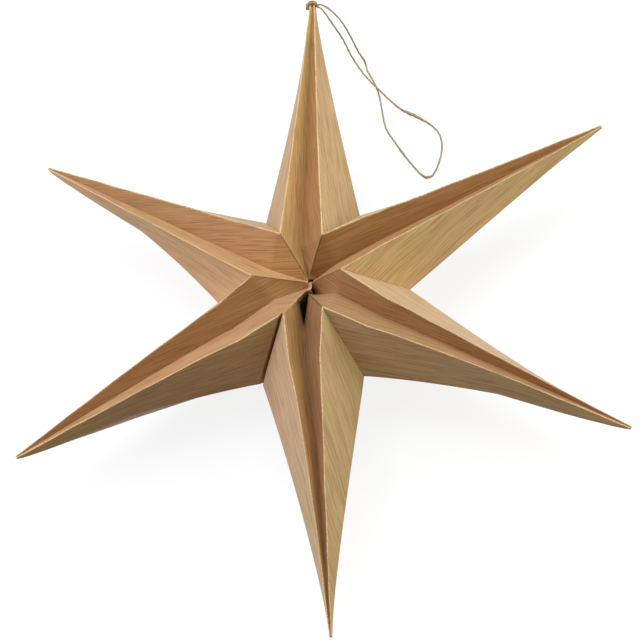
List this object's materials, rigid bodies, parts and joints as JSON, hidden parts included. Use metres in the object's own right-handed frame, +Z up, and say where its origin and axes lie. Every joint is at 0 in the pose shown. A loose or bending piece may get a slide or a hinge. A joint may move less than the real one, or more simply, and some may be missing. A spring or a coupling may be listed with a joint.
{
  "type": "folding paper star",
  "caption": "Large folded paper star with gusseted hollow points in wood-grain paper, closed at one seam and hung by a loop of jute twine from its top tip.",
  "frame": {"origin": "on the surface that the star lies on, under the axis of its hub", "axes": "+Z up along the hub's axis to the star's front, +Y towards the point that it hangs by, +X to the right"},
  "size_m": [0.5371, 0.6064, 0.116],
  "materials": {
    "veneer_paper": "matte paper with a fine tan wood grain",
    "closing_dot": "off-white self-adhesive closing dot",
    "jute_twine": "twisted natural jute, slightly fuzzy"
  },
  "bodies": {
    "root": {"point_top": "veneer_paper", "point_upper_right": "veneer_paper", "point_lower_right": "veneer_paper", "point_bottom": "veneer_paper", "point_lower_left": "veneer_paper", "point_upper_left": "veneer_paper", "closing_dots": "closing_dot", "hanging_twine": "jute_twine", "twine_knot": "jute_twine"}
  },
  "joints": []
}
